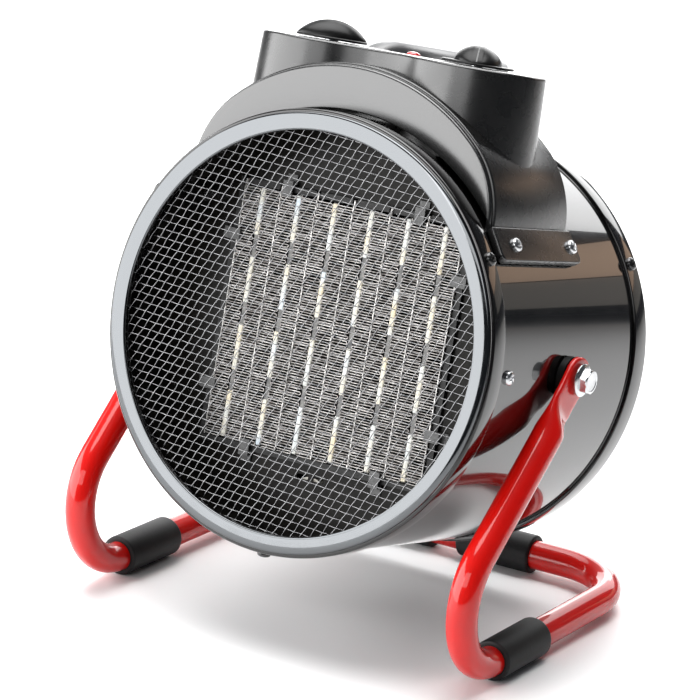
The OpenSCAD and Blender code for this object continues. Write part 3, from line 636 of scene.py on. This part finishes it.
def stand_path():
    """Centre line of one side from the pivot to the middle of the rear bar, in
    the row frame in millimetres."""
    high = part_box("stand_frame")[1]
    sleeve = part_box("front_right_sleeve")
    run_x = (sleeve[0].x + sleeve[1].x) * 500
    run_z = (sleeve[0].z + sleeve[1].z) * 500
    front_y, rear_y = sleeve[0].y * 1000, high.y * 1000 - TUBE_R
    top = Vector((100.2, PIVOT.y * 1000, PIVOT.z * 1000))
    bend_r, rear_r = 29.6, 36.0
    bend_steps, run_steps, corner_steps, bar_steps = 24, 8, 18, 6
    slope = math.radians(40.8)
    splay = math.atan2(top.x - run_x, top.z - run_z)

    def lean(y, h):
        return Vector((run_x + h * math.sin(splay), y, run_z + h * math.cos(splay)))

    foot = lean(front_y - bend_r * math.sin(slope), bend_r * (1 + math.cos(slope)))
    points = [top.lerp(foot, k / bend_steps) for k in range(bend_steps + 1)]
    for k in range(1, bend_steps + 1):
        t = math.radians(90) + slope + (math.pi - slope) * k / bend_steps
        points.append(lean(front_y + bend_r * math.cos(t), bend_r + bend_r * math.sin(t)))
    corner_x, corner_y = run_x - rear_r, rear_y - rear_r
    for k in range(1, run_steps + 1):
        points.append(Vector((run_x, front_y + (corner_y - front_y) * k / run_steps, run_z)))
    for k in range(1, corner_steps + 1):
        t = QUARTER * k / corner_steps
        x, y = corner_x + rear_r * math.cos(t), corner_y + rear_r * math.sin(t)
        points.append(Vector((x, y, run_z)))
    for k in range(1, bar_steps + 1):
        points.append(Vector((corner_x * (1 - k / bar_steps), rear_y, run_z)))
    return points


def section(centre, across, out, half_w, half_t, power):
    """A loop about centre: round at power 1, nearer to a rectangle the smaller power is."""
    loop = []
    for t in around(TUBE_SIDES):
        c, s = math.cos(t), math.sin(t)
        a = math.copysign(abs(c) ** power, c) * half_w
        b = math.copysign(abs(s) ** power, s) * half_t
        loop.append(tuple(centre + across * a + out * b))
    return loop


def flattened_end(pivot, along, across):
    """Loops from the rounded tip above the pivot, down the flat to the round tube."""
    half_t, half_w = LUG_THICK / 2, LUG_W / 2
    tip_steps, flat_steps, taper_steps, blend = 10, 4, 12, 4
    loops = []

    def add(d, w, t, power, share=0.0):
        centre = pivot + along * d
        centre.x = LUG_X + (centre.x - LUG_X) * share
        loops.append(section(centre, across, Vector((1, 0, 0)), w, t, power))

    for k in range(tip_steps + 1):
        d = -EAR_R * math.cos(QUARTER * k / tip_steps)
        w = math.sqrt(max(EAR_R ** 2 - d * d, 0.05))
        add(d, max(w, 0.9), half_t * (1 if k else 0.75), LUG_POWER)
    for k in range(1, flat_steps + 1):
        w = EAR_R + (half_w - EAR_R) * min(1, k / 2)
        add((FLAT - blend) * k / flat_steps, w, half_t, LUG_POWER)
    for k in range(1, taper_steps + 1):
        u = k / taper_steps
        e = u * u * (3 - 2 * u)
        add(FLAT - blend + (TAPER + blend) * u, half_w + (TUBE_R - half_w) * (u ** 1.3),
            half_t + (TUBE_R - half_t) * e, LUG_POWER + 0.58 * u ** 0.6, e)
    return loops


def aligned(loop, last):
    """The loop turned, and reversed if need be, so that its points lie nearest to last's."""
    ways = [way[k:] + way[:k] for way in (loop, loop[::-1]) for k in range(TUBE_SIDES)]
    return min(ways, key=lambda way: sum((Vector(a) - Vector(b)).length_squared
                                         for a, b in zip(last[::5], way[::5])))


def stand():
    """One bent tube from flattened end to flattened end."""
    half = stand_path()
    along = (half[1] - half[0]).normalized()
    across = along.cross(Vector((1, 0, 0))).normalized()
    end = flattened_end(half[0], along, across)
    length, path = 0.0, []
    for a, b in zip(half, half[1:]):
        length += (b - a).length
        if length > FLAT + TAPER + 1.5:
            path.append(b)
    path += [Vector((-p.x, p.y, p.z)) for p in reversed(path[:-1])]
    loops = list(end)
    for i, p in enumerate(path):
        d = (path[min(i + 1, len(path) - 1)] - path[max(i - 1, 0)]).normalized()
        across = (across - d * across.dot(d)).normalized()
        loops.append(section(p, across, across.cross(d), TUBE_R, TUBE_R, 1.0))
    for loop in reversed(end):
        loops.append(aligned([(-x, y, z) for x, y, z in loop], loops[-1]))
    tube = loft("stand_frame", loops, MM, sharp=50)
    finish_piece(tube, red_paint, "stand", "red_paint", "stand_frame")


def sleeves():
    """Rubber sleeves round the tube, with rounded rims."""
    bore = TUBE_R + 0.05
    nodes = "front_left_sleeve", "front_right_sleeve", "rear_left_sleeve", "rear_right_sleeve"
    for node in nodes:
        low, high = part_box(node)
        size, centre = (high - low) * 1000, (high + low) * 500
        front = node.startswith("front")
        axis, degrees = ("X", -90) if front else ("Y", 90)
        half, r = (size.y if front else size.x) / 2, size.z / 2
        turn = Matrix.Rotation(math.radians(degrees), 4, axis)
        outline = rounded([(bore, -half, 0), (r, -half, 1.3), (r, half, 1.3), (bore, half, 0)], 6)
        loops = [[(a * math.cos(t), a * math.sin(t), b) for a, b in outline] for t in around(64)]
        piece = loft(node, loops, MM @ Matrix.Translation(centre) @ turn, closed_path=True)
        finish_piece(piece, rubber, "stand", "sleeve_rubber", node)


# ---- control housing ------------------------------------------------------

# the arch: half its width, its top, where its shoulders spring from and their radius
ARCH_W, ARCH_TOP, ARCH_SPRING, SHOULDER_R = 75.6, 116.0, 60.0, 44.0
ARCH_FOOT = 57.0


def arch(t, steps=30):
    """Outline of the saddle from its right foot over the crown to its left foot,
    t inside the outer face: two shoulders and a flatter crown between them."""
    sx, rise = ARCH_W - SHOULDER_R, ARCH_TOP - ARCH_SPRING
    crown_r = (sx ** 2 + rise ** 2 - SHOULDER_R ** 2) / (2 * (rise - SHOULDER_R))
    crown_z = ARCH_TOP - crown_r
    turn = math.degrees(math.atan2(ARCH_SPRING - crown_z, sx))
    right = arc(sx, ARCH_SPRING, SHOULDER_R - t, 0, turn, steps)
    crown = arc(0, crown_z, crown_r - t, turn, 180 - turn, steps)[1:]
    left = [(-x, z) for x, z in reversed(right)][1:]
    return [(ARCH_W - t, ARCH_FOOT)] + right + crown + left + [(-ARCH_W + t, ARCH_FOOT)]


def saddle():
    """Cover and flank over the top of the drum, with a narrow groove between them."""
    y0, y1 = COVER_Y, saddle_hi.y - 2
    cover_r, wall_r = BAND_R + 0.9, SHELL_R + 0.3

    def rows(*steps):
        """Loops along the arch, each t inside its outer face at y."""
        return [[(x, y, z) for x, z in arch(t)] for t, y in steps]

    def hugging(*steps):
        """Loops that follow the drum at radius r, below the arch, at y."""
        turns = [math.atan2(z, x) for x, z in arch(3)]
        return [[(r * math.cos(a), y, r * math.sin(a)) for a in turns] for r, y in steps]

    loops = hugging((cover_r + 0.2, y0 + 2.5), (cover_r, y0 + 0.5), (cover_r + 0.25, y0 + 0.1),
                    (cover_r + 0.7, y0))
    loops += rows((2.6, y0), (2.1, y0 + 0.06), (1.7, y0 + 0.22), (1.4, y0 + 0.5), (1.25, y0 + 0.9),
                  (1.2, y0 + 1.4), (1.2, y0 + 2.4))
    cover = loft("saddle_front_cover", loops, sharp=40, closed_loops=False)
    finish_piece(cover, cover_plastic, "heater", "housing_plastic", "saddle_front_cover")
    loops = rows((2.4, y0 + 2.2), (0.9, y0 + 2.3), (0.4, y0 + 2.45), (0.12, y0 + 2.8),
                 (0, y0 + 3.3), (0, (y0 + y1) / 2), (0, y1 - 1.6), (0.25, y1 - 0.8),
                 (0.8, y1 - 0.25), (1.6, y1))
    loops += hugging((wall_r, y1), (wall_r, y1 - 2.4))
    flank = loft("saddle_flank", loops, sharp=40, closed_loops=False)
    finish_piece(flank, housing_plastic, "heater", "housing_plastic", "control_housing")


def pads():
    """Flanges that lie on the drum's sides, each under two screws."""
    y0, y1 = saddle_lo.y, saddle_hi.y
    top, foot = 8.2, -7.3
    outer, thick = BAND_R + 2.2, 3.4
    c, s = math.cos(math.radians(33.5)), math.sin(math.radians(33.5))
    outline = rounded([(y0 + 1.0, top, 0.8), (y0, foot, 3.0), (y1, foot, 3.0),
                       (y1 - 1.0, top, 0.8)], 6)
    layers = slab(outline, outer - thick, outer, 0.8, 0.3)
    for side, name in ((1, "saddle_pad_right"), (-1, "saddle_pad_left")):
        u, v = Vector((side * c, 0, s)), Vector((-side * s, 0, c))
        loops = [[tuple(u * h + v * b + Vector((0, a, 0))) for a, b, h in layer]
                 for layer in layers]
        finish_piece(loft(name, loops), housing_plastic, "heater", "housing_plastic")


def console_outline(t=0.0, steps=16):
    """Two round lobes joined by a hollow waist, anticlockwise, t inside."""
    r, waist = 30.0 - t, 35.0 + t
    lift = math.sqrt((r + waist) ** 2 - KNOB_X ** 2)
    turn = math.degrees(math.atan2(lift, -KNOB_X))
    right = arc(KNOB_X, KNOB_Y, r, -turn, turn, steps * 3)
    dip = arc(0, KNOB_Y + lift, waist, turn - 180, -turn, steps)[1:-1]
    left = [(-x, 2 * KNOB_Y - y) for x, y in right]
    rise = [(-x, 2 * KNOB_Y - y) for x, y in dip]
    return right + dip + left + rise


def console():
    """Drafted body with a rounded top rim, and the panel let into it."""
    base, draft, rim, steps = 84.0, 1.3, 1.2, 5
    layers = [(base, -draft), (base + 10, -draft * 0.74), (PANEL_Z - rim, 0.0)]
    layers += [(PANEL_Z - rim + rim * math.sin(t), rim * (1 - math.cos(t)))
               for t in (QUARTER * k / steps for k in range(1, steps + 1))]
    layers += [(PANEL_Z - 0.5, rim + 0.15)]
    body = loft("console", [[(x, y, z) for x, y in console_outline(t)] for z, t in layers])
    finish_piece(body, housing_plastic, "heater", "housing_plastic")
    panel = loft("control_panel", slab(console_outline(1.6), PANEL_Z - 1.4, PANEL_Z + 0.05, 0.35))
    finish_piece(panel, panel_plastic, "heater", "panel_plastic", "control_panel")


def stroke(cx, angle, r0, r1, width):
    """Part that marks an angle round a knob at cx, in degrees, from r0 to r1."""
    z, height = PANEL_Z + 0.06, 0.08
    t = math.radians(angle)
    d, n = Vector((math.cos(t), math.sin(t))), Vector((-math.sin(t), math.cos(t))) * width / 2
    low = [(cx + p.x, KNOB_Y + p.y, z) for p in (d * r0 - n, d * r1 - n, d * r1 + n, d * r0 + n)]
    return skin([low, [(x, y, z + height) for x, y, _ in low]])


def dial_marks():
    """Generic strokes: a growing scale round the thermostat, four steps round the switch."""
    start = KNOB_R + 1.8
    parts = [stroke(-KNOB_X, 225 - 27 * k, start, KNOB_R + 3.2 + 0.25 * k, 0.7) for k in range(11)]
    parts += [stroke(KNOB_X, 135 - 45 * k, start, KNOB_R + 4.6, 0.9) for k in range(4)]
    finish_piece(join("dial_marks", parts), mark_white, "heater", "panel_plastic")


def handle():
    """Bow-shaped grip behind the console, its ends run down into the console's sides."""
    half_w, half_h = 6.0, (handle_hi.z - handle_lo.z) / 2
    z = (handle_hi.z + handle_lo.z) / 2
    bow = handle_hi.x - half_w
    cy = handle_hi.y - handle_hi.x
    outline = rectangle(-half_w, half_w, -half_h, half_h, 4.0, 4.4, 6)
    loops, middle = [], 24
    for k in range(-3, 52):
        t = math.pi * k / (2 * middle)
        d = Vector((math.cos(t), math.sin(t)))
        drop = 5.5 * max(0, (abs(k - middle) - 15.5) / 8.5) ** 1.8
        loops.append([(d.x * (bow + a), cy + d.y * (bow + a), z - drop + b) for a, b in outline])
    # the handle's lighter grey colour is painted sheen
    finish_piece(loft("carry_handle", loops), handle_plastic_painted_sheen, "heater", "housing_plastic",
                 "carry_handle")


# ---- controls and fasteners -----------------------------------------------

def knob(node, body, cx, turn):
    """Skirt with a domed grip: a flat strip over the top, swelling sides below it, and a
    raised line on one end of the strip."""
    base, rise = knob_lo.z + 0.25, knob_hi.z - knob_lo.z - 1.7
    half, wide, strip, seat = KNOB_R - 0.2, 10.4, 2.3, 1.1
    dome = (half ** 2 + rise ** 2) / (2 * rise)
    spin = Matrix.Rotation(math.radians(turn), 4, "Z")
    place = HEATER @ Matrix.Translation((cx, KNOB_Y, base)) @ spin
    length_steps, side_steps, mark_steps = 44, 10, 12
    cut, blunt = math.radians(64), 0.9985

    def height(u):
        """Rise of the dome above the skirt, u from the middle along the grip."""
        return math.sqrt(dome ** 2 - u ** 2) - (dome - rise)

    skirt = turned([(KNOB_R - 0.1, 0), (KNOB_R + 0.25, 0.2), (KNOB_R + 0.3, 0.6),
                    (KNOB_R + 0.1, 0.95), (KNOB_R - 0.4, 1.15)], 96)
    loops = []
    for i in range(length_steps + 1):
        u = -half * math.cos(math.pi * i / length_steps) * blunt
        w = wide * math.sqrt(1 - (u / half) ** 2)
        s = min(strip, w * 0.6)
        right = []
        for t in (cut * k / side_steps for k in range(side_steps + 1)):
            right.append((u, s + (w - s) * (math.cos(t) - math.cos(cut)) / (1 - math.cos(cut)),
                          seat + height(u) * math.sin(t) / math.sin(cut)))
        right.append((u, s * 0.9, right[-1][2] + 0.12))
        loops.append(right + [(u, -y, z) for _, y, z in reversed(right)])
    piece = join(node, [skirt, skin(loops)], place, 30)
    finish_piece(piece, knob_plastic, body, "knob_plastic", node)
    line = []
    for k in range(mark_steps + 1):
        u = half * (0.25 + 0.72 * k / mark_steps)
        z = seat + height(u) + 0.1
        line.append([(u, -0.3, z), (u, 0.3, z), (u, 0.3, z + 0.06), (u, -0.3, z + 0.06)])
    finish_piece(loft(node + "_mark", line, place), knob_mark, body, "knob_plastic")


def lamp():
    """Low domed lens in the panel."""
    low, high = local_box("lamp_lens")
    r, rise, steps = (high.x - low.x) * 0.37, (high.z - PANEL_Z) * 0.72, 12
    dome = [(max(r * math.cos(t), 0.05), rise * math.sin(t))
            for t in (QUARTER * k / steps for k in range(steps + 1))]
    place = HEATER @ Matrix.Translation(((low.x + high.x) / 2, (low.y + high.y) / 2, PANEL_Z))
    lens = join("lamp_lens", [turned([(r, -0.8)] + dome)], place)
    finish_piece(lens, lamp_red, "heater", "lamp_red", "lamp_lens")


def clusters(node, reach=9.0):
    """Groups of a CAD node's vertices, one for each separate fastener, in the heater's axes."""
    groups = []
    for p in local_points(node):
        for group in groups:
            if (group[0] - p).length < reach:
                group.append(p)
                break
        else:
            groups.append([p])
    return groups


def cross_head(r, h, segments=64, rings=18):
    """Part for a pan head with a cross recess, its seat at z 0, pointing along z."""
    edge, arm_w, arm_len, slope, recess = 0.25, 0.16 * r, 0.62 * r, 0.1 * r, 0.62 * h
    turns = around(segments)
    loops = [[(r * math.cos(t), r * math.sin(t), z) for t in turns] for z in (-0.6, 0, h * edge)]
    for i in range(rings):
        q = 1 - i / rings
        z = h * (edge + (1 - edge) * math.sqrt(max(0.0, 1 - q ** 2.6)))
        loop = []
        for t in turns:
            x, y = r * q * math.cos(t), r * q * math.sin(t)
            arm = min(max(abs(x) - arm_w, abs(y) - arm_len), max(abs(y) - arm_w, abs(x) - arm_len))
            loop.append((x, y, z - recess * min(1.0, max(0.0, -arm / slope + 0.3))))
        loops.append(loop)
    return skin(loops)


def screws(node, surface, slot, r, h):
    """Cross-recessed pan heads that stand on the drum's side, one for each of the node's screws."""
    parts = []
    for n, group in enumerate(clusters(node)):
        centre = sum(group, Vector()) / len(group)
        radial = Vector((centre.x, 0, centre.z)).normalized()
        across = ALONG.cross(radial)
        top = max(p.dot(radial) for p in group)
        shift = sum(p.dot(across) for p in group) / len(group)
        y = (min(p.y for p in group) + max(p.y for p in group)) / 2
        seat = radial * (top - h) + across * shift + Vector((0, y, 0))
        turn = Matrix((across, ALONG, radial)).transposed().to_4x4()
        place = Matrix.Translation(seat) @ turn @ Matrix.Rotation(0.5 + 1.3 * n, 4, "Z")
        verts, faces = cross_head(r, h)
        parts.append(([place @ Vector(v) for v in verts], faces))
    finish_piece(join(node, parts, sharp=30), surface, "heater", slot, node)


def flange_bolt(inner, flats, height, segments=96):
    """Part for a hexagon head on a washer flange, dished on top, standing on z 0, with its
    shank down to -inner. flats is half the width across flats."""
    shank_r, flange_r, dish = 2.9, 7.15, height - 0.5
    corner = flats / math.cos(math.pi / 6)

    def disc(z, r):
        return [(r * math.cos(t), r * math.sin(t), z) for t in around(segments)]

    def hexagon(z, limit):
        """A hexagon with its corners cut at limit."""
        loop = []
        for t in around(segments):
            edge = min(flats / math.cos((t % (math.pi / 3)) - math.pi / 6), limit)
            loop.append((edge * math.cos(t), edge * math.sin(t), z))
        return loop

    return skin([
        disc(-inner, shank_r), disc(0, shank_r), disc(0, flange_r - 0.25), disc(0.25, flange_r),
        disc(0.8, flange_r), disc(1.1, flange_r - 0.25), disc(1.5, corner + 0.35),
        hexagon(1.7, corner - 0.05), hexagon(4.1, corner), hexagon(4.6, corner - 0.3),
        hexagon(5.0, flats - 0.05), disc(height, flats - 0.35), disc(height, flats - 0.9),
        disc(4.85, flats - 1.15), disc(dish, 1.2), disc(dish, 0.3)])


def pivot_bolts():
    """Flange bolts whose heads end where the CAD's do."""
    flats, height = 5.0, 5.1
    parts = []
    for side in (1, -1):
        reach = [p.x * side for p in local_points("pivot_bolts") if p.x * side > 0]
        seat = max(reach) - height
        turn = Matrix.Rotation(math.radians(90 * side), 4, "Y")
        turn = turn @ Matrix.Rotation(0.35 * side, 4, "Z")
        place = Matrix.Translation((side * seat, 0, 0)) @ turn
        verts, faces = flange_bolt(seat - min(reach), flats, height)
        parts.append(([place @ Vector(v) for v in verts], faces))
    bolts = join("pivot_bolts", parts, sharp=30)
    finish_piece(bolts, steel, "heater", "bright_screw", "pivot_bolts")


# ---- pieces ---------------------------------------------------------------

drum()
chrome_ring()
guard()
heating_block()
stand()
sleeves()
saddle()
pads()
console()
dial_marks()
handle()
knob("thermostat_knob", "thermostat", -KNOB_X, 31)
knob("switch_knob", "switch", KNOB_X, -64)
lamp()
for node in ("saddle_screws", "shell_screws"):
    screws(node, steel, "bright_screw", 3.1, 1.9)
for node in ("front_band_screws", "rear_band_screws"):
    screws(node, black_screw, "black_screw", 3.0, 1.9)
pivot_bolts()

dress(baffle_steel, "baffle_plate")
dress(frame_plastic, "block_frame")
# the washers' extra darkness is painted shade between lug and drum
dress(washer_plastic, "pivot_washers")
dress(spring_steel, "block_clips")
dress(white_plastic, "thermal_cutout", "thermostat_body", "switch_body", "lamp_holder",
      "terminal_block")
dress(sheet_steel, "air_duct", "motor_mount")
dress(cast_metal, "fan_blades", "motor_front_bracket", "motor_rear_bracket")
dress(lamination, "motor_rotor", "motor_stator")
dress(copper, "motor_coil")
dress(brass, "motor_bushes")
dress(grille_paint, "rear_grille")
dress(steel, "motor_shaft", "thermostat_spindle", "switch_spindle", "pivot_nuts", "mount_screws")
dress(gland_plastic, "cable_gland", "gland_locknut")


# ---- scene ----------------------------------------------------------------

def stage():
    """Wide pale floor."""
    half = 8
    mesh = bpy.data.meshes.new("floor")
    mesh.from_pydata([(-half, -half, 0), (half, -half, 0), (half, half, 0), (-half, half, 0)], [],
                     [(0, 1, 2, 3)])
    floor = bpy.data.objects.new("floor", mesh)
    bpy.context.scene.collection.objects.link(floor)
    floor.data.materials.append(material("floor", (0.9, 0.9, 0.9), 0.6, bumps=[(60, 0.02)],
                                         mottle=((0.88, 0.88, 0.88), 3, 0.3)))


def light(name, where, size, power, color=(1, 1, 1), target=(0, 0, 0.12), spread=180):
    """Area light turned towards target; by default that is the middle of the heater."""
    data = bpy.data.lights.new(name, "AREA")
    data.shape = "RECTANGLE"
    data.size, data.size_y = size
    data.energy = power
    data.color = color
    data.spread = math.radians(spread)
    obj = bpy.data.objects.new(name, data)
    bpy.context.scene.collection.objects.link(obj)
    obj.location = where
    obj.rotation_euler = (Vector(target) - Vector(where)).to_track_quat("-Z", "Y").to_euler()


def studio():
    """Wide soft lights on the left, behind and above, and two dim warm strips behind the right."""
    bpy.context.scene.view_settings.view_transform = "Standard"
    world = bpy.data.worlds.new("studio")
    bpy.context.scene.world = world
    world.use_nodes = True
    background = world.node_tree.nodes["Background"].inputs
    background["Color"].default_value = (0.8, 0.88, 1.0, 1)
    background["Strength"].default_value = 0.07
    light("left", (-1.2, -0.9, 0.55), (2.4, 1.1), 42)
    light("rear_left", (-1.3, 2.2, 0.45), (1.8, 1.1), 19)
    light("rear", (-0.46, 2.32, 1.1), (1.9, 1.0), 17)
    light("warm_wall", (0.85, 2.2, 0.55), (0.9, 0.24), 0.8, (1.0, 0.7, 0.5))
    light("low_wall", (0.85, 2.2, 0.3), (0.9, 0.24), 0.24, (1.0, 0.92, 0.82))
    light("front_top", (0.1, -1.6, 0.95), (1.2, 0.6), 7)
    light("ceiling", (-0.5, 0.5, 1.6), (1.8, 2.2), 31, target=(-0.4, 0.4, 0), spread=105)


def camera():
    """Aims at a point near the pivot from the front right, a little above, slightly rolled."""
    azimuth, elevation, roll = math.radians(30.97), math.radians(16.02), math.radians(3.83)
    distance, focal, sensor = 1.4775, 172.8, 36
    target = PIVOT + Vector((-0.0089, -0.0080, -0.0079))
    level = math.cos(elevation)
    away = Vector((math.sin(azimuth) * level, -math.cos(azimuth) * level, math.sin(elevation)))
    data = bpy.data.cameras.new("camera")
    data.lens, data.sensor_width = focal, sensor
    obj = bpy.data.objects.new("camera", data)
    bpy.context.scene.collection.objects.link(obj)
    turn = (-away).to_track_quat("-Z", "Y").to_matrix().to_4x4() @ Matrix.Rotation(roll, 4, "Z")
    obj.matrix_world = Matrix.Translation(target + away * distance) @ turn
    bpy.context.scene.camera = obj


stage()
studio()
camera()
